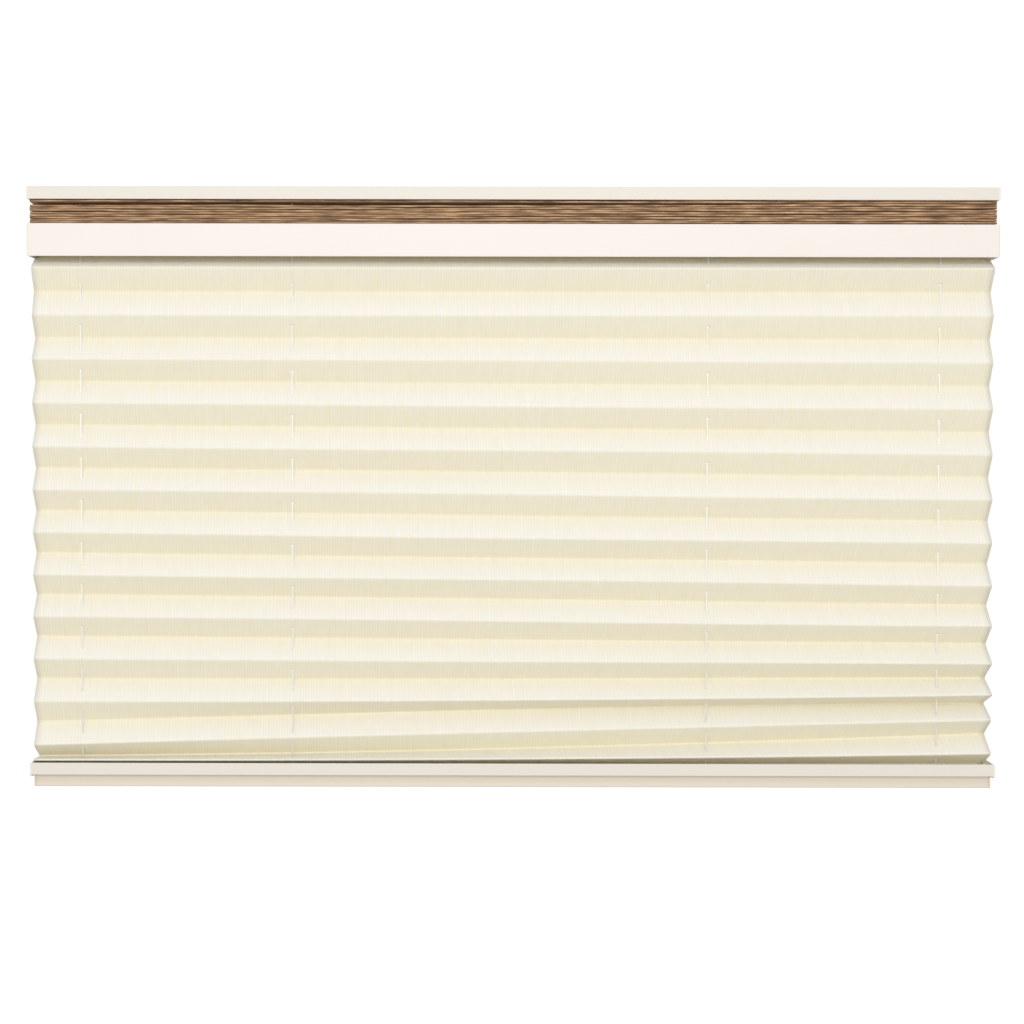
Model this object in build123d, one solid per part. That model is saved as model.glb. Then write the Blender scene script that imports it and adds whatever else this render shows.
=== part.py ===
from build123d import *
import math
import os

# A day-and-night pleated blind for a motor home window, hung from the top of the window recess.
# A dark night fabric is folded up between the headrail and the mid rail, and a cream day fabric
# is open between the mid rail and the bottom rail. Four cords run down through both fabrics.
# Millimetres. +X along the rails, -Y towards the room, +Z up. The origin is the middle of the
# headrail's top face, over the pleats.

os.makedirs("parts", exist_ok=True)

# ------------------------------------------------------------------ driving dimensions
# The blind as a whole
blind_width = 965.0          # over the end caps, the same on all three rails
night_stack_height = 24.0    # from the headrail down to the mid rail, night fabric folded up
mid_rail_height = 32.4
day_opening = 505.0          # from the mid rail down to the bottom rail, day fabric open
bottom_rail_height = 24.4

# Pleated fabrics
facet_width = 25.4           # from one crease to the next, along the cloth
front_creases = 13           # on each fabric
fabric_thickness = 0.3
crease_radius = 0.6
glue_line = 0.1              # between an end facet and its strip
fabric_end_clearance = 0.5   # from each end cap

# Rail extrusions
wall = 1.2
headrail_hollow = 4.3        # room for the cords and springs above the web
rail_corner_radius = 0.5
channel_side_room = 1.6      # beside the end facet, front and back
channel_depth = 4.5          # from a rail's edge in to its fabric strip
rib_width = 1.2              # the ribs that the strip bears on
rib_thickness = 1.0
web = 1.0                    # between a fabric channel and the hollow behind it
strip_thickness = 1.5
strip_play = 0.2             # round the strip in its groove
flange_depth = 10.0          # the headrail's screw flange, behind the pleats
flange_thickness = 1.6

# The bottom rail is a wide channel over a narrower hollow grip
bottom_channel_height = 12.0
grip_setback = 4.3           # of the grip, behind the channel's faces
finger_groove_depth = 1.4
grip_end_setback = 3.3       # of the grip's ends, inside the channel's ends

# End caps
cap_thickness = 2.0
cap_edge_radius = 1.2
grip_plate_thickness = 1.6
plug_length = 8.0
plug_wall = 1.5
plug_clearance = 0.1

# Cords and what guides them, each place measured in from the rail's nearer end
cord_diameter = 1.2
outer_left_inset = 49.5
inner_left_inset = 261.5
inner_right_inset = 287.5
outer_right_inset = 55.5
fabric_hole_diameter = 2.4
strip_hole_diameter = 4.0
guide_bore = 2.0
guide_barrel = 5.0
guide_flange = 8.0
guide_flange_thickness = 0.7
headrail_lane = 5.0          # how far a cord stands to one side of the line of guides
mid_rail_lane = 4.0
lane_run = 45.0              # the length over which a cord moves out to its lane
headrail_bend_radius = 2.2
mid_rail_bend_radius = 4.0
bend_lead = 2.0              # a crossing cord's straight run between a web and its bend
lane_bend_radius = 120.0
knot_diameter = 3.6

# Tension springs in the headrail
spring_length = 40.0
spring_pitch = 1.6
spring_wire = 0.6
spring_headroom = 0.35       # above and below the coils
cord_loop_radius = 1.6
loop_play = 0.1

# Screw holes in the headrail's flange
screw_hole_diameter = 4.4
outer_screw_spacing = 880.0
inner_screw_spacing = 300.0

# ------------------------------------------------------------------ worked-out places
channel_width = facet_width + 2 * channel_side_room
rail_depth = channel_width + 2 * wall
groove_height = strip_thickness + strip_play
web_reach = channel_depth + groove_height            # from a rail's edge to the near side of its web
hollow_reach = web_reach + web                       # and to the far side
extrusion_length = blind_width - 2 * cap_thickness
fabric_width = extrusion_length - 2 * fabric_end_clearance
facet_reach = channel_depth - glue_line - fabric_thickness / 2  # from a rail's edge to the end facet

headrail_bottom = -(wall + headrail_hollow + hollow_reach)
mid_rail_top = headrail_bottom - night_stack_height
mid_rail_bottom = mid_rail_top - mid_rail_height
bottom_rail_top = mid_rail_bottom - day_opening
bottom_rail_bottom = bottom_rail_top - bottom_rail_height

cord_places = {
    "outer_left": outer_left_inset - blind_width / 2,
    "inner_left": inner_left_inset - blind_width / 2,
    "inner_right": blind_width / 2 - inner_right_inset,
    "outer_right": blind_width / 2 - outer_right_inset,
}


def save(node, *solids):
    """Writes one node. Its solids stay separate."""
    export_step(Compound(children=list(solids)), f"parts/{node}.step")


def block(size_x, size_y, size_z, centre):
    return Pos(*centre) * Box(size_x, size_y, size_z)


def upright(radius, x, low, high, y=0.0):
    """A round bar or hole that stands on end."""
    return Pos(x, y, (low + high) / 2) * Cylinder(radius, high - low)


def section_box(width, low, high):
    """A rectangle of a rail's section, centred front to back."""
    return Pos(0, (low + high) / 2) * Rectangle(width, high - low)


def between(a, b):
    return min(a, b), max(a, b)


# ------------------------------------------------------------------ rail extrusions
def fabric_channel(edge, inward):
    """The space for an end pleat and its strip: open at the rail's edge, narrowed by two ribs,
    then a groove as wide as the channel. inward is 1 where the rail lies above its edge."""
    rib_start = edge + inward * (channel_depth - rib_thickness)
    rib_end = edge + inward * channel_depth
    groove_end = edge + inward * web_reach
    mouth = section_box(channel_width, *between(edge - inward * wall, rib_start))
    throat = section_box(channel_width - 2 * rib_width, *between(rib_start, rib_end))
    groove = section_box(channel_width, *between(rib_end, groove_end))
    return mouth + throat + groove


def extrude_rail(section):
    """A section drawn front to back and up, run out along the rail."""
    return extrude(Plane.YZ * section, amount=extrusion_length / 2, both=True)


def drill_for_guides(rail, web_edge, inward):
    """Holes in a web for the cord guides' barrels."""
    low, high = between(web_edge, web_edge + inward * web)
    for x in cord_places.values():
        rail -= upright(guide_barrel / 2, x, low - web / 2, high + web / 2)
    return rail


def outer_section(width, low, high):
    return Pos(0, (low + high) / 2) * RectangleRounded(width, high - low, rail_corner_radius)


headrail_section = outer_section(rail_depth, headrail_bottom, 0)
flange_centre = rail_depth / 2 + flange_depth / 2
headrail_section += Pos(flange_centre - wall / 2, -flange_thickness / 2) * Rectangle(
    flange_depth + wall, flange_thickness
)
headrail_hollow_floor = headrail_bottom + hollow_reach
headrail_section -= section_box(channel_width, headrail_hollow_floor, -wall)
headrail_section -= fabric_channel(headrail_bottom, 1)
headrail = extrude_rail(headrail_section)
headrail = drill_for_guides(headrail, headrail_bottom + web_reach, 1)
for spacing in (outer_screw_spacing, inner_screw_spacing):
    for x in (-spacing / 2, spacing / 2):
        hole = upright(screw_hole_diameter / 2, x, -2 * flange_thickness, flange_thickness, flange_centre)
        headrail -= hole
save("headrail", headrail)

mid_hollow_top = mid_rail_top - hollow_reach
mid_hollow_floor = mid_rail_bottom + hollow_reach
mid_section = outer_section(rail_depth, mid_rail_bottom, mid_rail_top)
mid_section -= section_box(channel_width, mid_hollow_floor, mid_hollow_top)
mid_section -= fabric_channel(mid_rail_top, -1)
mid_section -= fabric_channel(mid_rail_bottom, 1)
mid_rail = extrude_rail(mid_section)
mid_rail = drill_for_guides(mid_rail, mid_rail_top - web_reach, -1)
mid_rail = drill_for_guides(mid_rail, mid_rail_bottom + web_reach, 1)
save("mid_rail", mid_rail)

# The bottom rail's grip has a shallow finger groove, an arc, down its front and back.
grip_top = bottom_rail_top - bottom_channel_height
grip_half = rail_depth / 2 - grip_setback
grip_middle = (grip_top + bottom_rail_bottom) / 2
with BuildSketch() as grip:
    with BuildLine():
        front_low = (-grip_half, bottom_rail_bottom)
        front_high = (-grip_half, grip_top)
        back_low = (grip_half, bottom_rail_bottom)
        back_high = (grip_half, grip_top)
        ThreePointArc(front_low, (finger_groove_depth - grip_half, grip_middle), front_high)
        Line(front_high, back_high)
        ThreePointArc(back_high, (grip_half - finger_groove_depth, grip_middle), back_low)
        Line(back_low, front_low)
    make_face()
    low_corners = grip.vertices().group_by(Axis.Y)[0]
    fillet(low_corners, radius=2 * rail_corner_radius)

bottom_hollow_top = bottom_rail_top - hollow_reach
grip_hollow_width = 2 * (grip_half - finger_groove_depth - wall)
bottom_section = outer_section(rail_depth, grip_top, bottom_rail_top) + grip.sketch
bottom_section -= section_box(channel_width, grip_top + wall, bottom_hollow_top)
bottom_section -= section_box(grip_hollow_width, bottom_rail_bottom + wall, bottom_hollow_top)
bottom_section -= fabric_channel(bottom_rail_top, -1)
bottom_rail = extrude_rail(bottom_section)
bottom_rail = drill_for_guides(bottom_rail, bottom_rail_top - web_reach, -1)
grip_end = blind_width / 2 - grip_end_setback - grip_plate_thickness
for side in (-1, 1):
    trimmed = extrusion_length / 2 - grip_end
    bottom_rail -= block(
        2 * trimmed,
        rail_depth,
        grip_top - bottom_rail_bottom,
        (side * (grip_end + trimmed), 0, grip_middle),
    )
save("bottom_rail", bottom_rail)


# ------------------------------------------------------------------ end caps
def hollow_plug(side, start, width, low, high):
    """The part of a cap that is pushed into the rail's hollow: a short open box."""
    middle = side * (start - plug_length / 2)
    centre = (middle, 0, (low + high) / 2)
    plug_width = width - 2 * plug_clearance
    plug_height = high - low - 2 * plug_clearance
    plug = block(plug_length, plug_width, plug_height, centre)
    inside = (plug_width - 2 * plug_wall, plug_height - 2 * plug_wall)
    if min(inside) <= 0:
        return plug
    return plug - block(plug_length, *inside, centre)


def cap_plate(side, inner, thickness, width, low, high, radius):
    """A plate over the rail's end, rounded on its outer edges."""
    x = side * (inner + thickness / 2)
    plate = block(thickness, width, high - low, (x, 0, (low + high) / 2))
    outer = plate.faces().sort_by(Axis.X)[-1 if side > 0 else 0]
    return fillet(outer.edges(), radius=radius)


def plain_cap(side, low, high, hollow_low, hollow_high):
    start = extrusion_length / 2
    plate = cap_plate(side, start, cap_thickness, rail_depth, low, high, cap_edge_radius)
    return plate + hollow_plug(side, start, channel_width, hollow_low, hollow_high)


def bottom_cap(side):
    """Steps in under the channel to cover the grip's shorter end."""
    start = extrusion_length / 2
    shelf_low = grip_top - grip_plate_thickness
    cap = cap_plate(side, start, cap_thickness, rail_depth, shelf_low, bottom_rail_top, cap_edge_radius)
    shelf_length = blind_width / 2 - cap_thickness - grip_end
    shelf_centre = (side * (grip_end + shelf_length / 2), 0, grip_top - grip_plate_thickness / 2)
    cap += block(shelf_length, 2 * grip_half, grip_plate_thickness, shelf_centre)
    grip_plate = (grip_plate_thickness, 2 * grip_half, bottom_rail_bottom, grip_top)
    cap += cap_plate(side, grip_end, *grip_plate, cap_edge_radius)
    return cap + hollow_plug(side, grip_end, grip_hollow_width, bottom_rail_bottom + wall, grip_top)


for name, side in (("left", -1), ("right", 1)):
    save(f"headrail_{name}_cap", plain_cap(side, headrail_bottom, 0, headrail_hollow_floor, -wall))
    mid_cap = plain_cap(side, mid_rail_bottom, mid_rail_top, mid_hollow_floor, mid_hollow_top)
    save(f"mid_rail_{name}_cap", mid_cap)
    save(f"bottom_rail_{name}_cap", bottom_cap(side))


# ------------------------------------------------------------------ fabric strips
def fabric_strip(edge, inward):
    """A stiff flat strip that carries an end facet, drawn against the channel's ribs."""
    near = edge + inward * channel_depth
    middle = near + inward * strip_thickness / 2
    length = extrusion_length - 2 * strip_play
    width = channel_width - 2 * strip_play
    strip = block(length, width, strip_thickness, (0, 0, middle))
    for x in cord_places.values():
        strip -= upright(strip_hole_diameter / 2, x, middle - strip_thickness, middle + strip_thickness)
    return strip


save("headrail_fabric_strip", fabric_strip(headrail_bottom, 1))
save("mid_rail_night_strip", fabric_strip(mid_rail_top, -1))
save("mid_rail_day_strip", fabric_strip(mid_rail_bottom, 1))
save("bottom_rail_fabric_strip", fabric_strip(bottom_rail_top, -1))


# ------------------------------------------------------------------ cord guides
def guides(web_edge, inward):
    """Flanged plastic eyelets, one for each cord, pushed into a web from its hollow side."""
    web_low, web_high = between(web_edge, web_edge + inward * web)
    hollow_side = web_edge + inward * web
    flange_low, flange_high = between(hollow_side, hollow_side + inward * guide_flange_thickness)
    made = []
    bore_low = min(web_low, flange_low) - web
    bore_high = max(web_high, flange_high) + web
    for x in cord_places.values():
        guide = upright(guide_barrel / 2, x, web_low, web_high)
        guide += upright(guide_flange / 2, x, flange_low, flange_high)
        guide -= upright(guide_bore / 2, x, bore_low, bore_high)
        made.append(guide)
    return made


save("headrail_cord_guides", *guides(headrail_bottom + web_reach, 1))
save("mid_rail_upper_guides", *guides(mid_rail_top - web_reach, -1))
save("mid_rail_lower_guides", *guides(mid_rail_bottom + web_reach, 1))
save("bottom_rail_cord_guides", *guides(bottom_rail_top - web_reach, -1))


# ------------------------------------------------------------------ pleated fabrics
def pleated_sheet(points, radius):
    """A sheet that follows points front to back and up, each crease an arc, punched for the cords."""
    path = FilletPolyline(*[(0, y, z) for y, z in points], radius=radius)
    edge_on = make_face(offset(path, amount=fabric_thickness / 2, side=Side.BOTH).edges())
    sheet = extrude(edge_on, amount=fabric_width / 2, dir=(1, 0, 0), both=True)
    heights = [z for _, z in points]
    for x in cord_places.values():
        sheet -= upright(fabric_hole_diameter / 2, x, min(heights) - wall, max(heights) + wall)
    return sheet


half_facet = facet_width / 2
folds = 2 * front_creases + 1        # crossings from one end facet to the other, less one flat facet


def night_points():
    """Folded up flat: every facet level, one above the other."""
    top = headrail_bottom + facet_reach
    spacing = (night_stack_height + 2 * facet_reach) / folds
    points = []
    for facet in range(folds + 1):
        side = -1 if facet % 2 == 0 else 1
        level = top - facet * spacing
        points += [(side * half_facet, level), (-side * half_facet, level)]
    return points, spacing


def drop(across):
    """How far a facet falls while it goes this far front to back."""
    return math.sqrt(max(facet_width**2 - across**2, 0.0))


def open_half_depth(height):
    """Half the depth of the open pleats. The first and last facets start from the back of a channel."""
    shallow, deep = 0.0, half_facet
    for _ in range(60):
        trial = (shallow + deep) / 2
        reached = 2 * drop(half_facet + trial) + (folds - 3) * drop(2 * trial)
        if reached > height:
            shallow = trial
        else:
            deep = trial
    return trial


def day_points():
    top = mid_rail_bottom + facet_reach
    bottom = bottom_rail_top - facet_reach
    half_depth = open_half_depth(top - bottom)
    points = [(-half_facet, top), (half_facet, top)]
    level = top - drop(half_facet + half_depth)
    for crease in range(folds - 2):
        side = -1 if crease % 2 == 0 else 1
        points.append((side * half_depth, level))
        level -= drop(2 * half_depth)
    return points + [(half_facet, bottom), (-half_facet, bottom)]


night_path, night_spacing = night_points()
save("night_fabric", pleated_sheet(night_path, 0.49 * night_spacing))
save("day_fabric", pleated_sheet(day_points(), crease_radius))


# ------------------------------------------------------------------ cords
def cord(points, radii):
    """A round cord along straight runs joined by tangent arcs, one radius for each corner."""
    path = FilletPolyline(*points, radius=radii) if radii else Line(*points)
    start = Plane(origin=path @ 0, z_dir=path % 0)
    return sweep(start * Circle(cord_diameter / 2), path=path)


def straight_cord(x, low, high):
    return upright(cord_diameter / 2, x, low, high)


headrail_web = headrail_bottom + web_reach
mid_upper_web = mid_rail_top - web_reach
mid_lower_web = mid_rail_bottom + web_reach
bottom_web = bottom_rail_top - web_reach

# In the headrail each cord turns towards the middle and ends in a loop on a spring's hook.
headrail_level = (headrail_hollow_floor - wall) / 2
spring_radius = (-wall - headrail_hollow_floor) / 2 - spring_headroom - spring_wire / 2
hook_centre = spring_length / 2 + spring_radius / 2
link_overlap = (cord_diameter + spring_wire) / 2 + loop_play
loop_centre = hook_centre + spring_radius + cord_loop_radius - link_overlap


def headrail_cord(x, lane, middle):
    side = 1 if x > middle else -1
    loop_x = middle + side * loop_centre
    points = [
        (x, 0, headrail_web),
        (x, 0, headrail_level),
        (x - side * lane_run, lane, headrail_level),
        (loop_x + side * cord_loop_radius, lane, headrail_level),
    ]
    loop = Pos(loop_x, lane, headrail_level) * Torus(cord_loop_radius, cord_diameter / 2)
    return cord(points, [headrail_bend_radius, lane_bend_radius]) + loop


def crossing_cord(start_x, end_x, lane):
    """Enters the mid rail at one end from above and leaves it at the other end from below."""
    side = 1 if end_x > start_x else -1
    high = mid_upper_web - bend_lead - mid_rail_bend_radius
    low = mid_lower_web + bend_lead + mid_rail_bend_radius
    points = [
        (start_x, 0, mid_upper_web),
        (start_x, 0, high),
        (start_x + side * lane_run, lane, high),
        (end_x - side * lane_run, lane, low),
        (end_x, 0, low),
        (end_x, 0, mid_lower_web),
    ]
    radii = [mid_rail_bend_radius, lane_bend_radius, lane_bend_radius, mid_rail_bend_radius]
    return cord(points, radii)


def knotted_cord(x):
    """Ends in a knot that bears on the rim of the guide's bore."""
    knot_radius = knot_diameter / 2
    flange = bottom_web - web - guide_flange_thickness
    seat = math.sqrt(knot_radius**2 - (guide_bore / 2) ** 2)
    knot_level = flange - seat - loop_play
    return straight_cord(x, knot_level, bottom_web) + Pos(x, 0, knot_level) * Sphere(knot_radius)


outer = (cord_places["outer_left"], cord_places["outer_right"])
inner = (cord_places["inner_left"], cord_places["inner_right"])
outer_spring_x = sum(outer) / 2
inner_spring_x = sum(inner) / 2

headrail_cords = [headrail_cord(x, -headrail_lane, outer_spring_x) for x in outer]
headrail_cords += [headrail_cord(x, headrail_lane, inner_spring_x) for x in inner]
save("headrail_cords", *headrail_cords)

mid_rail_cords = [crossing_cord(outer[0], outer[1], -mid_rail_lane)]
mid_rail_cords += [crossing_cord(outer[1], outer[0], mid_rail_lane)]
mid_rail_cords += [straight_cord(x, mid_lower_web, mid_upper_web) for x in inner]
save("mid_rail_cords", *mid_rail_cords)

save("night_cords", *[straight_cord(x, mid_upper_web, headrail_web) for x in cord_places.values()])
save("day_cords", *[straight_cord(x, bottom_web, mid_lower_web) for x in cord_places.values()])
save("bottom_rail_cords", *[knotted_cord(x) for x in cord_places.values()])


# ------------------------------------------------------------------ tension springs
def tension_spring(middle, lane):
    """An open coil along the rail with a round hook at each end."""
    start = (middle - spring_length / 2, lane, headrail_level)
    coil = Helix(spring_pitch, spring_length, spring_radius, center=start, direction=(1, 0, 0))
    wire = Plane(origin=coil @ 0, z_dir=coil % 0) * Circle(spring_wire / 2)
    spring = sweep(wire, path=coil, is_frenet=True)
    for side in (-1, 1):
        place = Pos(middle + side * hook_centre, lane, headrail_level) * Rot(90, 0, 0)
        spring += place * Torus(spring_radius, spring_wire / 2)
    return spring


save("outer_cord_spring", tension_spring(outer_spring_x, -headrail_lane))
save("inner_cord_spring", tension_spring(inner_spring_x, headrail_lane))
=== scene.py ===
import math

import bmesh
import bpy
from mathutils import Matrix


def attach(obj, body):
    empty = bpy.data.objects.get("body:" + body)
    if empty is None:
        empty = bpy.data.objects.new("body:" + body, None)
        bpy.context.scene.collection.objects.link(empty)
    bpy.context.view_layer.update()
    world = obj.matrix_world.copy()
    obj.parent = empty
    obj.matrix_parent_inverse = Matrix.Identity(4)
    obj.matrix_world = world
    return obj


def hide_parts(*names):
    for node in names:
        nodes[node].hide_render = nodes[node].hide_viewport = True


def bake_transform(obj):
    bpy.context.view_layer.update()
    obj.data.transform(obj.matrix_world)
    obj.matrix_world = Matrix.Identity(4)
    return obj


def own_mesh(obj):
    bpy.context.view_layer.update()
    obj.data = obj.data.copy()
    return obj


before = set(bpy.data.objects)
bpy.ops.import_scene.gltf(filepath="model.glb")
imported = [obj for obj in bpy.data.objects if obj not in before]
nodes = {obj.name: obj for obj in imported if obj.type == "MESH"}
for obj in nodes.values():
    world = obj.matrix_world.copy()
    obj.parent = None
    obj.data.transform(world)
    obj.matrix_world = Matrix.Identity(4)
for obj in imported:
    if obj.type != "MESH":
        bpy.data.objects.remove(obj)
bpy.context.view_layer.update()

MM = 0.001

# ---------------------------------------------------------------- camera, light and floor
# The blind hangs at its fixing height in an empty white room. The camera stands square to it, a
# little above its middle, and looks slightly down. One soft panel lights it from high in front.
camera = bpy.data.objects.new("camera", bpy.data.cameras.new("camera"))
camera.location = (0.0026, -1.8030, -0.2681)
camera.rotation_euler = (math.radians(90 - 1.738), math.radians(-0.104), math.radians(0.106))
camera.data.sensor_width = 36.0
camera.data.lens = 63.17
camera.data.clip_start, camera.data.clip_end = 0.05, 60.0
bpy.context.scene.collection.objects.link(camera)
bpy.context.scene.camera = camera
bpy.context.scene.view_settings.view_transform = "Standard"


def colour(hex_value):
    """An sRGB colour such as F2EBDE, as Blender's linear one."""
    channels = [int(hex_value[i : i + 2], 16) / 255 for i in (0, 2, 4)]
    linear = [c / 12.92 if c <= 0.04045 else ((c + 0.055) / 1.055) ** 2.4 for c in channels]
    return (*linear, 1.0)


def add(tree, kind, settings=None, **inputs):
    """A node with its settings. Each input is a value, or another node's output to link."""
    node = tree.nodes.new(kind)
    for name, value in (settings or {}).items():
        setattr(node, name, value)
    for name, value in inputs.items():
        socket = node.inputs[int(name[1:]) if name[0] == "_" else name.replace("_", " ")]
        if isinstance(value, bpy.types.NodeSocket):
            tree.links.new(value, socket)
        else:
            socket.default_value = value
    return node


def start_material(name):
    """A new material with an empty node tree, and that tree."""
    material = bpy.data.materials.new(name)
    material.use_nodes = True
    material.node_tree.nodes.clear()
    return material, material.node_tree


# The room's walls and floor look evenly white, but throw back only part of the light.
brightness_seen, brightness_given = 1.05, 0.74
room = bpy.data.worlds.new("white room")
room.use_nodes = True
tree = room.node_tree
tree.nodes.clear()
ray = add(tree, "ShaderNodeLightPath").outputs["Is Camera Ray"]
brightness = add(
    tree, "ShaderNodeMath", {"operation": "MULTIPLY_ADD"},
    _0=ray, _1=brightness_seen - brightness_given, _2=brightness_given,
)
walls = add(
    tree, "ShaderNodeBackground", Color=colour("FFFFFF"), Strength=brightness.outputs[0]
)
add(tree, "ShaderNodeOutputWorld", Surface=walls.outputs[0])
bpy.context.scene.world = room

floor_height = -1.25
bm = bmesh.new()
bmesh.ops.create_grid(bm, x_segments=1, y_segments=1, size=9.0)
bmesh.ops.translate(bm, verts=bm.verts, vec=(0, 3.0, floor_height))
floor_mesh = bpy.data.meshes.new("floor")
bm.to_mesh(floor_mesh)
bm.free()
floor = bpy.data.objects.new("floor", floor_mesh)
bpy.context.scene.collection.objects.link(floor)
paint, tree = start_material("matt white floor paint")
matt = add(tree, "ShaderNodeBsdfPrincipled", Base_Color=colour("DADAD8"), Roughness=0.9)
white = add(tree, "ShaderNodeEmission", Color=colour("FFFFFF"), Strength=brightness_seen)
ray = add(tree, "ShaderNodeLightPath").outputs["Is Camera Ray"]
seen = add(tree, "ShaderNodeMixShader", _0=ray, _1=matt.outputs[0], _2=white.outputs[0])
add(tree, "ShaderNodeOutputMaterial", Surface=seen.outputs[0])
floor_mesh.materials.append(paint)

panel = bpy.data.objects.new("high_front_panel", bpy.data.lights.new("high_front_panel", "AREA"))
panel.data.shape = "RECTANGLE"
panel.data.size, panel.data.size_y = 2.5, 1.5
panel.data.energy = 72.0
panel.location = (-0.2, -4.0, 1.2)
panel.rotation_euler = [math.radians(angle) for angle in (69.5, 0, -3)]
bpy.context.scene.collection.objects.link(panel)

# ---------------------------------------------------------------- rails
# Three aluminium extrusions, sawn to length and powder coated in a warm off-white; the mid rail's
# coat is painted a shade paler, as painted light for the brighter light on it. The coat has a low
# satin gloss, a faint orange-peel ripple and a slightly uneven tone. Below the top of the grip
# along the bottom it is painted darker, as painted shade under the bottom rail's step.
grip_top = -586.1 * MM


def painted_grip_shade(tree, place, unshaded_tone):
    """Its own tone, or a darker one below the top of the grip, as painted shade under the step."""
    height = add(tree, "ShaderNodeSeparateXYZ", Vector=place).outputs["Z"]
    share = add(
        tree, "ShaderNodeMapRange", Value=height, From_Min=grip_top - 1 * MM, From_Max=grip_top,
        To_Min=1.0, To_Max=0.0,
    )
    # Painted shade: below the top of the grip the tone turns to the darker DED2C1.
    return add(
        tree, "ShaderNodeMix", {"data_type": "RGBA"},
        _0=share.outputs[0], _6=unshaded_tone, _7=colour("DED2C1"),
    ).outputs[2]


def powder_coat(name, darker, lighter):
    """A coat whose tone drifts between two near ones."""
    coat, tree = start_material(name)
    place = add(tree, "ShaderNodeTexCoord").outputs["Object"]
    cloudy = add(tree, "ShaderNodeTexNoise", Vector=place, Scale=9.0, Detail=3.0, Roughness=0.6)
    tone = add(
        tree, "ShaderNodeMix", {"data_type": "RGBA"},
        _0=cloudy.outputs["Fac"], _6=colour(darker), _7=colour(lighter),
    )
    # The ripple of a real coat is 1 to 2 mm across.
    ripple = add(tree, "ShaderNodeTexNoise", Vector=place, Scale=1 / (1.6 * MM), Detail=1.0)
    relief = add(
        tree, "ShaderNodeBump", Strength=0.35, Distance=0.02 * MM, Height=ripple.outputs["Fac"]
    )
    gloss = add(
        tree, "ShaderNodeMapRange", Value=cloudy.outputs["Fac"], To_Min=0.42, To_Max=0.50
    )
    # Painted shade: the coat is darker below the top of the grip.
    shader = add(
        tree, "ShaderNodeBsdfPrincipled", Base_Color=painted_grip_shade(tree, place, tone.outputs[2]),
        Roughness=gloss.outputs[0], IOR=1.5, Normal=relief.outputs[0],
    )
    add(tree, "ShaderNodeOutputMaterial", Surface=shader.outputs[0])
    return coat


def finish(material, slot, *names):
    """Gives CAD nodes their finish."""
    for name in names:
        node = nodes[name]
        node.data.materials.clear()
        node.data.materials.append(material)


cream_coat = powder_coat("satin powder coated aluminium", "E2DACF", "E6DFD5")
# Painted light: the mid rail has the same coat as the others, painted a shade paler for the
# brighter light on it.
coat_painted_paler_for_light = powder_coat("paler satin powder coated aluminium", "EBE4DB", "EFE9E2")
finish(cream_coat, "rail", "headrail", "bottom_rail")
finish(coat_painted_paler_for_light, "rail", "mid_rail")

# ---------------------------------------------------------------- end caps
# Injection-moulded ABS caps, pushed into the rails' ends by their plugs. The plastic is coloured
# to match the coat, and its mould was lightly spark-eroded, so it is fine-grained and less glossy.
plastic, tree = start_material("spark textured ABS")
place = add(tree, "ShaderNodeTexCoord").outputs["Object"]
# The texture's grain is about 0.4 mm; it is drawn at 0.8 mm so that it shows.
grain = add(tree, "ShaderNodeTexNoise", Vector=place, Scale=1 / (0.8 * MM), Detail=2.0)
relief = add(tree, "ShaderNodeBump", Strength=0.4, Distance=0.02 * MM, Height=grain.outputs["Fac"])
tone = add(
    tree, "ShaderNodeMix", {"data_type": "RGBA"},
    _0=grain.outputs["Fac"], _6=colour("EAE2D7"), _7=colour("EEE7DD"),
)
# Painted shade: below the top of the grip the caps are painted darker too.
shader = add(
    tree, "ShaderNodeBsdfPrincipled", Base_Color=painted_grip_shade(tree, place, tone.outputs[2]),
    Roughness=0.5, IOR=1.53, Normal=relief.outputs[0],
)
add(tree, "ShaderNodeOutputMaterial", Surface=shader.outputs[0])
finish(
    plastic, "cap", "headrail_left_cap", "headrail_right_cap", "mid_rail_left_cap",
    "mid_rail_right_cap", "bottom_rail_left_cap", "bottom_rail_right_cap",
)

# ---------------------------------------------------------------- fabric strips
# Extruded rigid PVC strips that slide into grooves in the rails and hold the cloth's end facets.
# The die leaves fine lines along them, and they are a cold white.
pvc, tree = start_material("extruded white PVC")
place = add(tree, "ShaderNodeTexCoord").outputs["Object"]
drawn = add(tree, "ShaderNodeMapping", Vector=place, Scale=(3.0, 1 / (1.2 * MM), 1 / (1.2 * MM)))
lines = add(tree, "ShaderNodeTexNoise", Vector=drawn.outputs[0], Scale=1.0, Detail=2.0)
relief = add(tree, "ShaderNodeBump", Strength=0.4, Distance=0.02 * MM, Height=lines.outputs["Fac"])
tone = add(
    tree, "ShaderNodeMix", {"data_type": "RGBA"},
    _0=lines.outputs["Fac"], _6=colour("ECEBE6"), _7=colour("F3F2EE"),
)
shader = add(
    tree, "ShaderNodeBsdfPrincipled", Base_Color=tone.outputs[2], Roughness=0.38, IOR=1.53,
    Normal=relief.outputs[0],
)
add(tree, "ShaderNodeOutputMaterial", Surface=shader.outputs[0])
finish(
    pvc, "strip", "headrail_fabric_strip", "mid_rail_night_strip", "mid_rail_day_strip",
    "bottom_rail_fabric_strip",
)

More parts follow.
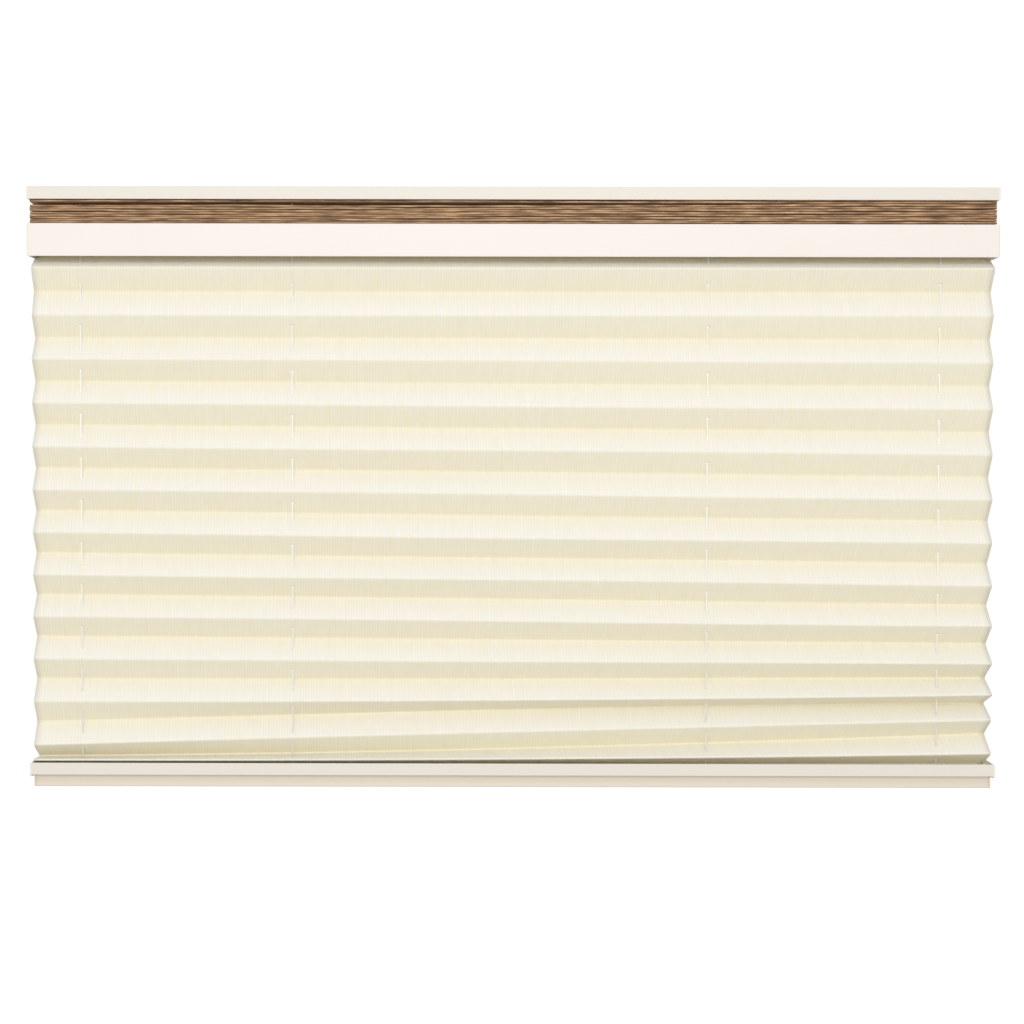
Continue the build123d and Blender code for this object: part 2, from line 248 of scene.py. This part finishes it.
# ---------------------------------------------------------------- cord guides
# Turned-over eyelets moulded in natural acetal, pressed through the webs from the hollow side so
# that the cords don't rub on metal. Acetal is milky, smooth and slightly waxy.
acetal, tree = start_material("natural acetal")
place = add(tree, "ShaderNodeTexCoord").outputs["Object"]
milk = add(tree, "ShaderNodeTexNoise", Vector=place, Scale=1 / (3.0 * MM), Detail=1.0)
tone = add(
    tree, "ShaderNodeMix", {"data_type": "RGBA"},
    _0=milk.outputs["Fac"], _6=colour("EDEAE0"), _7=colour("F4F2EA"),
)
shader = add(
    tree, "ShaderNodeBsdfPrincipled", Base_Color=tone.outputs[2], Roughness=0.3, IOR=1.48,
    Coat_Weight=0.1,
)
add(tree, "ShaderNodeOutputMaterial", Surface=shader.outputs[0])
finish(
    acetal, "guide", "headrail_cord_guides", "mid_rail_upper_guides", "mid_rail_lower_guides",
    "bottom_rail_cord_guides",
)

# ---------------------------------------------------------------- tension springs
# Two coil springs of drawn stainless wire in the headrail's hollow, which pull on the looped ends
# of the cords. Drawing leaves the wire bright, with a satin streak along it.
wire, tree = start_material("drawn stainless spring wire")
place = add(tree, "ShaderNodeTexCoord").outputs["Object"]
streak = add(tree, "ShaderNodeTexNoise", Vector=place, Scale=1 / (0.5 * MM), Detail=2.0)
gloss = add(tree, "ShaderNodeMapRange", Value=streak.outputs["Fac"], To_Min=0.22, To_Max=0.36)
shader = add(
    tree, "ShaderNodeBsdfPrincipled", Base_Color=colour("C9C7C2"), Metallic=1.0,
    Roughness=gloss.outputs[0],
)
add(tree, "ShaderNodeOutputMaterial", Surface=shader.outputs[0])
finish(wire, "spring", "outer_cord_spring", "inner_cord_spring")

# ---------------------------------------------------------------- cords
# Four plaited polyester cords, 1.2 mm thick, run from the springs down through every facet of
# both cloths to a knot under the bottom rail's web. The plait's strands cross at a slant.
plait, tree = start_material("plaited polyester cord")
place = add(tree, "ShaderNodeTexCoord").outputs["Object"]
strands = []
for slant in (38, -38):
    turned = add(tree, "ShaderNodeMapping", Vector=place, Rotation=(0, math.radians(slant), 0))
    # Each strand is about 0.4 mm wide; it is drawn 0.9 mm wide so that it shows.
    strands.append(
        add(
            tree, "ShaderNodeTexWave", {"bands_direction": "Z"}, Vector=turned.outputs[0],
            Scale=0.314 / (0.9 * MM), Distortion=0.4,
        )
    )
crossed = add(
    tree, "ShaderNodeMath", {"operation": "MAXIMUM"},
    _0=strands[0].outputs["Fac"], _1=strands[1].outputs["Fac"],
)
relief = add(tree, "ShaderNodeBump", Strength=0.3, Distance=0.08 * MM, Height=crossed.outputs[0])
tone = add(
    tree, "ShaderNodeMix", {"data_type": "RGBA"},
    _0=crossed.outputs[0], _6=colour("FCFAF4"), _7=colour("FFFFFF"),
)
shader = add(
    tree, "ShaderNodeBsdfPrincipled", Base_Color=tone.outputs[2], Roughness=0.6, IOR=1.5,
    Normal=relief.outputs[0],
)
add(tree, "ShaderNodeOutputMaterial", Surface=shader.outputs[0])
finish(plait, "cord", "headrail_cords", "mid_rail_cords", "bottom_rail_cords")

cord_places = (-433.0 * MM, -221.0 * MM, 195.0 * MM, 427.0 * MM)
cord_diameter = 1.2 * MM


def upright_cords(name, top, bottom, material):
    """The four lengths between two rails, each pulled straight."""
    bm = bmesh.new()
    for x in cord_places:
        made = bmesh.ops.create_cone(
            bm, segments=16, radius1=cord_diameter / 2, radius2=cord_diameter / 2,
            depth=top - bottom, cap_ends=True,
        )
        bmesh.ops.translate(bm, verts=made["verts"], vec=(x, 0, (top + bottom) / 2))
    for face in bm.faces:
        face.smooth = len(face.verts) == 4
    mesh = bpy.data.meshes.new(name)
    bm.to_mesh(mesh)
    bm.free()
    mesh.materials.append(material)
    cords = bpy.data.objects.new(name, mesh)
    bpy.context.scene.collection.objects.link(cords)
    return cords


headrail_web, mid_rail_top_web = -6.5 * MM, -42.9 * MM
night_cords = upright_cords("night_cord_lengths", headrail_web, mid_rail_top_web, plait)
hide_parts("night_cords")
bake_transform(night_cords)

mid_rail_lower_web, bottom_rail_web = -62.9 * MM, -580.3 * MM
day_cords = upright_cords("day_cord_lengths", mid_rail_lower_web, bottom_rail_web, plait)
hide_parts("day_cords")
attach(day_cords, "mid_rail")
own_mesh(day_cords)

# ---------------------------------------------------------------- night cloth
# A brown blackout polyester, pleated at one inch and set with heat. It is folded up: only the
# rounded front creases show, pressed together unevenly, with dark gaps between them.
facet = 25.4 * MM
facets = 28
cloth_width = 960.0 * MM
cloth_thickness = 0.3 * MM
hole_radius = 1.2 * MM
hole_patch = 4.8 * MM
rail_edge = 12.7 * MM
between_caps = 480.3 * MM
largest_lift = 5.0 * MM


def level(k, x):
    """No settling: fold k stays where it is folded."""
    return 0.0


def pleated_cloth(name, fold_at, material, roll, settle=level, lean=0.0):
    """A sheet folded at every facet. fold_at(k, x) gives how far back and how high fold k is.

    roll is how far each crease bulges up and down, and settle(k, x) how much higher fold k lies
    than its even place.
    """
    # Columns are 8 mm apart and rows crowd at the creases. Both leave a square patch round each
    # cord in the middle of a facet.
    spacing, room_for_patch = 8 * MM, 5.5 * MM
    columns = [-cloth_width / 2 + i * spacing for i in range(round(cloth_width / spacing) + 1)]
    columns = [x for x in columns if all(abs(x - c) > room_for_patch for c in cord_places)]
    beside = [c + side * hole_patch / 2 for c in cord_places for side in (-1, 1)]
    columns = sorted(columns + beside)
    below_crease = [0.3 * MM, 0.6 * MM, 1.6 * MM]
    round_middle = [(facet - hole_patch) / 2, (facet + hole_patch) / 2]
    above_crease = [facet - d for d in reversed(below_crease)]
    offsets = [0, *below_crease, *round_middle, *above_crease]
    rows = [k * facet + d for k in range(facets) for d in offsets] + [facets * facet]

    bm = bmesh.new()
    bmesh.ops.create_grid(bm, x_segments=len(columns) - 1, y_segments=len(rows) - 1, size=1.0)
    for vert in bm.verts:
        i = round((vert.co.x + 1) / 2 * (len(columns) - 1))
        j = round((vert.co.y + 1) / 2 * (len(rows) - 1))
        vert.co = (columns[i], rows[j], 0)

    # A punched hole for each cord in the middle of each facet, where the facet crosses the cord.
    punched = []
    for face in bm.faces:
        middle = face.calc_center_median()
        near = [c for c in cord_places if abs(middle.x - c) < 0.1 * MM]
        if near and abs(middle.y % facet - facet / 2) < 0.1 * MM:
            k = int(middle.y // facet)
            before, after = fold_at(k, near[0])[0], fold_at(k + 1, near[0])[0]
            shift = (before / (before - after) - 0.5) * facet
            for vert in face.verts:
                vert.co.y += shift
            punched.append(face)
    # The patch is inset to a smaller square, whose eight rim points then move onto the hole.
    bmesh.ops.inset_individual(bm, faces=punched, thickness=1.4 * MM)
    rim = list({edge for face in punched for edge in face.edges})
    bmesh.ops.subdivide_edges(bm, edges=rim, cuts=1)
    for face in punched:
        middle = face.calc_center_bounds()
        for vert in face.verts:
            vert.co = middle + (vert.co - middle).normalized() * hole_radius
    bmesh.ops.delete(bm, geom=punched, context="FACES")

    weave = bm.loops.layers.uv.new("cloth")
    for face in bm.faces:
        face.smooth = True
        for loop in face.loops:
            loop[weave].uv = loop.vert.co.xy

    # Fold it. Each crease is a small roll, not a knife edge: the cloth above it is raised and the
    # cloth below it lowered, by the same amount in every position of the blind. The roll is
    # thickest 0.6 mm from its crease and runs out at the facet's middle.
    first_row, thickest = below_crease[:2]
    edge_strip, edge_shift = 40 * MM, 1 * MM
    lifts = []
    for vert in bm.verts:
        x, along, _ = vert.co
        k = min(int(along / facet + 1e-6), facets - 1)
        share = along / facet - k
        (y0, z0), (y1, z1) = fold_at(k, x), fold_at(k + 1, x)
        y, z = y0 + (y1 - y0) * share, z0 + (z1 - z0) * share
        # A leaning cloth hangs 1 mm to the left over its last 40 mm, and stays between the caps.
        near_edge = max((abs(x) - cloth_width / 2) / edge_strip + 1, 0) if lean else 0
        x = min(max(x - lean * y - near_edge * edge_shift, -between_caps), between_caps)
        vert.co = (x, y, z)
        from_fold = min(share, 1 - share) * facet
        if from_fold < (first_row + thickest) / 2:
            rolled = 0.75 * from_fold / first_row
        else:
            rolled = 1 - max(from_fold - thickest, 0) / (facet / 2 - thickest)
        # The facets held in the rails stay flat.
        if facet - 1e-6 < along < (facets - 1) * facet + 1e-6:
            side = -1 if share < 0.5 else 1
            settled = settle(k, x) * (1 - share) + settle(k + 1, x) * share
            lifts.append((side * roll * rolled + settled) / largest_lift)
        else:
            lifts.append(0.0)
    mesh = bpy.data.meshes.new(name)
    bm.to_mesh(mesh)
    bm.free()
    mesh.materials.append(material)
    cloth = bpy.data.objects.new(name, mesh)
    bpy.context.scene.collection.objects.link(cloth)
    for label, sign in (("raised", 1), ("lowered", -1)):
        group = cloth.vertex_groups.new(name=label)
        for index, lift in enumerate(lifts):
            group.add([index], max(sign * lift, 0.0), "REPLACE")
        move = cloth.modifiers.new(label, "DISPLACE")
        move.direction, move.mid_level = "Z", 0.0
        move.strength, move.vertex_group = sign * largest_lift, label
    return cloth


def thicken(cloth):
    """Gives the sheet its thickness, half of it on each side."""
    wall = cloth.modifiers.new("thickness", "SOLIDIFY")
    wall.thickness, wall.offset = cloth_thickness, 0.0


night_top, night_bottom = -8.45 * MM, -40.95 * MM


def night_fold(k, x):
    """The folds lie closer in the middle, so that they open out evenly as the mid rail drops."""
    share = min(max((k - 1) / (facets - 2), 0.0), 1.0)
    height = night_top + (night_bottom - night_top) * (
        0.5 - math.sin(math.asin(1 - 2 * share) / 3)
    )
    sunk = 0.5 * math.sin(19 * x + 2.1 * k) + 0.35 * math.sin(47 * x + 5.3 * k) + 0.85
    return (rail_edge if k % 2 else -rail_edge + sunk * MM), height


def night_settle(k, x):
    """The stack is pressed to even layers that wave a little, with a gap near its top at the left.

    The gap is under fold 6. At the left the folds under it lie 1.9 mm lower and those above it
    0.45 of that higher. It gets narrower over 500 mm, and ends 380 mm right of the middle.
    """
    above_gap, lowered, gap_end, narrowing = 6, 1.9, 380 * MM, 500 * MM
    share = (k - 1) / (facets - 2)
    even = night_top + (night_bottom - night_top) * share - night_fold(k, x)[1]
    wave = 0.30 * math.sin(9 * x + 0.5 * k) + 0.22 * math.sin(31 * x + 1.3 * k)
    gap = lowered * min(max((gap_end - x) / narrowing, 0.0), 1.0)
    if k <= above_gap:
        parted = 0.45 * gap
    else:
        parted = -gap * (facets - 1 - k) / (facets - 2 - above_gap)
    return even + (wave * math.sin(math.pi * share) + parted * min(k - 1, 2) / 2) * MM


# Brown yarns of three shades run across the cloth, each shade in streaks 10 to 40 mm long. A yarn
# is about 0.4 mm thick; the streaks are drawn 1.1 mm thick so that they show.
brown, tree = start_material("brown blackout polyester")
woven = add(tree, "ShaderNodeUVMap", {"uv_map": "cloth"}).outputs[0]
drawn_out = add(
    tree, "ShaderNodeMapping", Vector=woven, Scale=(1 / (24 * MM), 1 / (1.1 * MM), 1)
)
streaks = add(tree, "ShaderNodeTexNoise", Vector=drawn_out.outputs[0], Scale=1.0, Detail=3.0)
shades = add(tree, "ShaderNodeValToRGB", Fac=streaks.outputs["Fac"])
ramp = shades.color_ramp.elements
ramp[0].position, ramp[0].color = 0.32, colour("6E503A")
ramp[1].position, ramp[1].color = 0.68, colour("D6B189")
ramp.new(0.5).color = colour("A88460")
relief = add(tree, "ShaderNodeBump", Strength=0.5, Distance=0.1 * MM, Height=streaks.outputs["Fac"])
shader = add(
    tree, "ShaderNodeBsdfPrincipled", Base_Color=shades.outputs[0], Roughness=0.7, IOR=1.5,
    Sheen_Weight=0.15, Sheen_Roughness=0.4, Normal=relief.outputs[0],
)
add(tree, "ShaderNodeOutputMaterial", Surface=shader.outputs[0])

night = pleated_cloth("night_cloth", night_fold, brown, 0.78 * MM, settle=night_settle)
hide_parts("night_fabric")
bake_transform(night)
thicken(night)

# ---------------------------------------------------------------- day cloth
# A cream crush polyester that lets daylight through, pleated like the night cloth and hanging
# open. Its last pleats lie closer and unevenly, because the bottom rail carries them.
day_top, day_bottom = -64.85 * MM, -578.35 * MM
first_crease = -79.75 * MM
# The drop from each front crease to the next, at the cloth's left end and at its right end.
left_pitches = [
    p * MM for p in (46.7, 43.7, 44.1, 43.4, 42.8, 43.3, 41.9, 42.2, 42.9, 42.6, 43.9, 15.4)
]
right_pitches = [
    p * MM for p in (46.4, 46.5, 46.6, 45.2, 45.0, 43.8, 42.1, 40.6, 37.7, 30.7, 25.9, 34.5)
]


def crease_height(n, x):
    """How high front crease n is. Creases 10 and 12 rise mostly towards the right end."""
    share = x / cloth_width + 0.5
    left = first_crease - sum(left_pitches[:n])
    right = first_crease - sum(right_pitches[:n])
    bend = 2.0 if n in (10, 12) else 1.0
    sway = 0.35 * MM * math.sin(7.1 * share + 2.3 * n) * math.sin(math.pi * n / 12)
    return left + (right - left) * share**bend + sway


def across(fall):
    """How far front to back a facet goes while it falls this far."""
    return math.sqrt(facet**2 - fall**2)


def last_valley(x):
    """At the left the last valley has dropped level with the crease under it."""
    share = x / cloth_width + 0.5
    above, under = crease_height(11, x), crease_height(12, x)
    height = under + (above - under) * share / 2
    depth = rail_edge - across(under - day_bottom) + across(height - under)
    return min(depth, rail_edge + 0.1 * MM), height


def crease_depth(n, x):
    """How far back front crease n is, so that the facets beside it balance on the cords."""
    if n == 0:
        return rail_edge - across(day_top - first_crease)
    if n == 12:
        return rail_edge - across(crease_height(12, x) - day_bottom)
    if n == 11:
        depth, height = last_valley(x)
        return depth - across(crease_height(11, x) - height)
    heights = [crease_height(i, x) for i in (n - 1, n, n + 1)]
    return -(across((heights[0] - heights[1]) / 2) + across((heights[1] - heights[2]) / 2)) / 4


def day_fold(k, x):
    """Folds 0 and 28 are the cloth's cut edges; even folds are front creases."""
    if k <= 1:
        return (rail_edge if k else -rail_edge), day_top
    if k >= facets - 1:
        return (rail_edge if k == facets - 1 else -rail_edge), day_bottom
    if k % 2 == 0:
        return crease_depth(k // 2 - 1, x), crease_height(k // 2 - 1, x)
    if k == facets - 3:
        return last_valley(x)
    # A back crease is one facet away from the front creases above and below it.
    (y0, z0), (y1, z1) = day_fold(k - 1, x), day_fold(k + 1, x)
    gap = math.hypot(y1 - y0, z1 - z0)
    reach = across(gap / 2) / gap
    return (y0 + y1) / 2 + (z0 - z1) * reach, (z0 + z1) / 2 - (y0 - y1) * reach


# The warp is crimped, which shows as upright lines about 2.7 mm apart that waver in width, and
# the yarn is a little thicker in places. Light from behind warms the cloth.
cream, tree = start_material("cream crush polyester")
woven = add(tree, "ShaderNodeUVMap", {"uv_map": "cloth"}).outputs[0]
upright = add(tree, "ShaderNodeMapping", Vector=woven, Scale=(1, 0.04, 1))
lines = add(
    tree, "ShaderNodeTexWave", {"bands_direction": "X"}, Vector=upright.outputs[0],
    Scale=0.314 / (2.7 * MM), Distortion=5.0, Detail=2.0, Detail_Scale=1.5,
)
fade = add(tree, "ShaderNodeMapping", Vector=woven, Scale=(1 / (7 * MM), 1 / (30 * MM), 1))
strength = add(tree, "ShaderNodeTexNoise", Vector=fade.outputs[0], Scale=1.0, Detail=1.0)
crimp = add(
    tree, "ShaderNodeMath", {"operation": "MULTIPLY"},
    _0=lines.outputs["Fac"], _1=strength.outputs["Fac"],
)
thick = add(tree, "ShaderNodeMapping", Vector=woven, Scale=(1 / (2.5 * MM), 1 / (12 * MM), 1))
slub = add(tree, "ShaderNodeTexNoise", Vector=thick.outputs[0], Scale=1.0, Detail=3.0)
both = add(
    tree, "ShaderNodeMath", {"operation": "MULTIPLY_ADD"},
    _0=slub.outputs["Fac"], _1=0.4, _2=crimp.outputs[0],
)
shades = add(tree, "ShaderNodeValToRGB", Fac=both.outputs[0])
ramp = shades.color_ramp.elements
ramp[0].position, ramp[0].color = 0.15, colour("FAF8F1")
ramp[1].position, ramp[1].color = 0.75, colour("FFFFFF")
# Painted shade and painted highlight: the tone follows the pleats. The undersides, which are the
# first half of each pair of facets, and the back creases are painted yellower, and the tops are
# painted whiter towards the front creases.
along = add(tree, "ShaderNodeSeparateXYZ", Vector=woven).outputs["Y"]
pairs = add(tree, "ShaderNodeMath", {"operation": "DIVIDE"}, _0=along, _1=2 * facet)
in_pair = add(tree, "ShaderNodeMath", {"operation": "FRACT"}, _0=pairs.outputs[0])
painted_pleat_shade = add(tree, "ShaderNodeValToRGB", Fac=in_pair.outputs[0])
ramp = painted_pleat_shade.color_ramp.elements
ramp[0].position, ramp[0].color = 0.0, colour("FFFCEF")
ramp[1].position, ramp[1].color = 1.0, colour("FEFEFB")
ramp.new(0.5).color = colour("FDF9E6")
ramp.new(0.62).color = colour("FBF8EE")
# The painted shade of the pleats is multiplied into the crimp's tones.
tone = add(
    tree, "ShaderNodeMix", {"data_type": "RGBA", "blend_type": "MULTIPLY"},
    _0=1.0, _6=painted_pleat_shade.outputs[0], _7=shades.outputs[0],
)
relief = add(tree, "ShaderNodeBump", Strength=0.5, Distance=0.25 * MM, Height=both.outputs[0])
shader = add(
    tree, "ShaderNodeBsdfPrincipled", Base_Color=tone.outputs[2], Roughness=0.65, IOR=1.5,
    Normal=relief.outputs[0],
)
through = add(tree, "ShaderNodeBsdfTranslucent", Color=colour("F6E9C2"), Normal=relief.outputs[0])
mixed = add(tree, "ShaderNodeMixShader", _0=0.2, _1=shader.outputs[0], _2=through.outputs[0])
add(tree, "ShaderNodeOutputMaterial", Surface=mixed.outputs[0])


def day_settle(k, x):
    """The last two creases are held a little clear of the facet in the bottom rail."""
    return 0.85 * MM if k in (facets - 3, facets - 2) else 0.0


day = pleated_cloth("day_cloth", day_fold, cream, 0.7 * MM, settle=day_settle, lean=0.11)
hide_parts("day_fabric")
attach(day, "mid_rail")
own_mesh(day)
thicken(day)
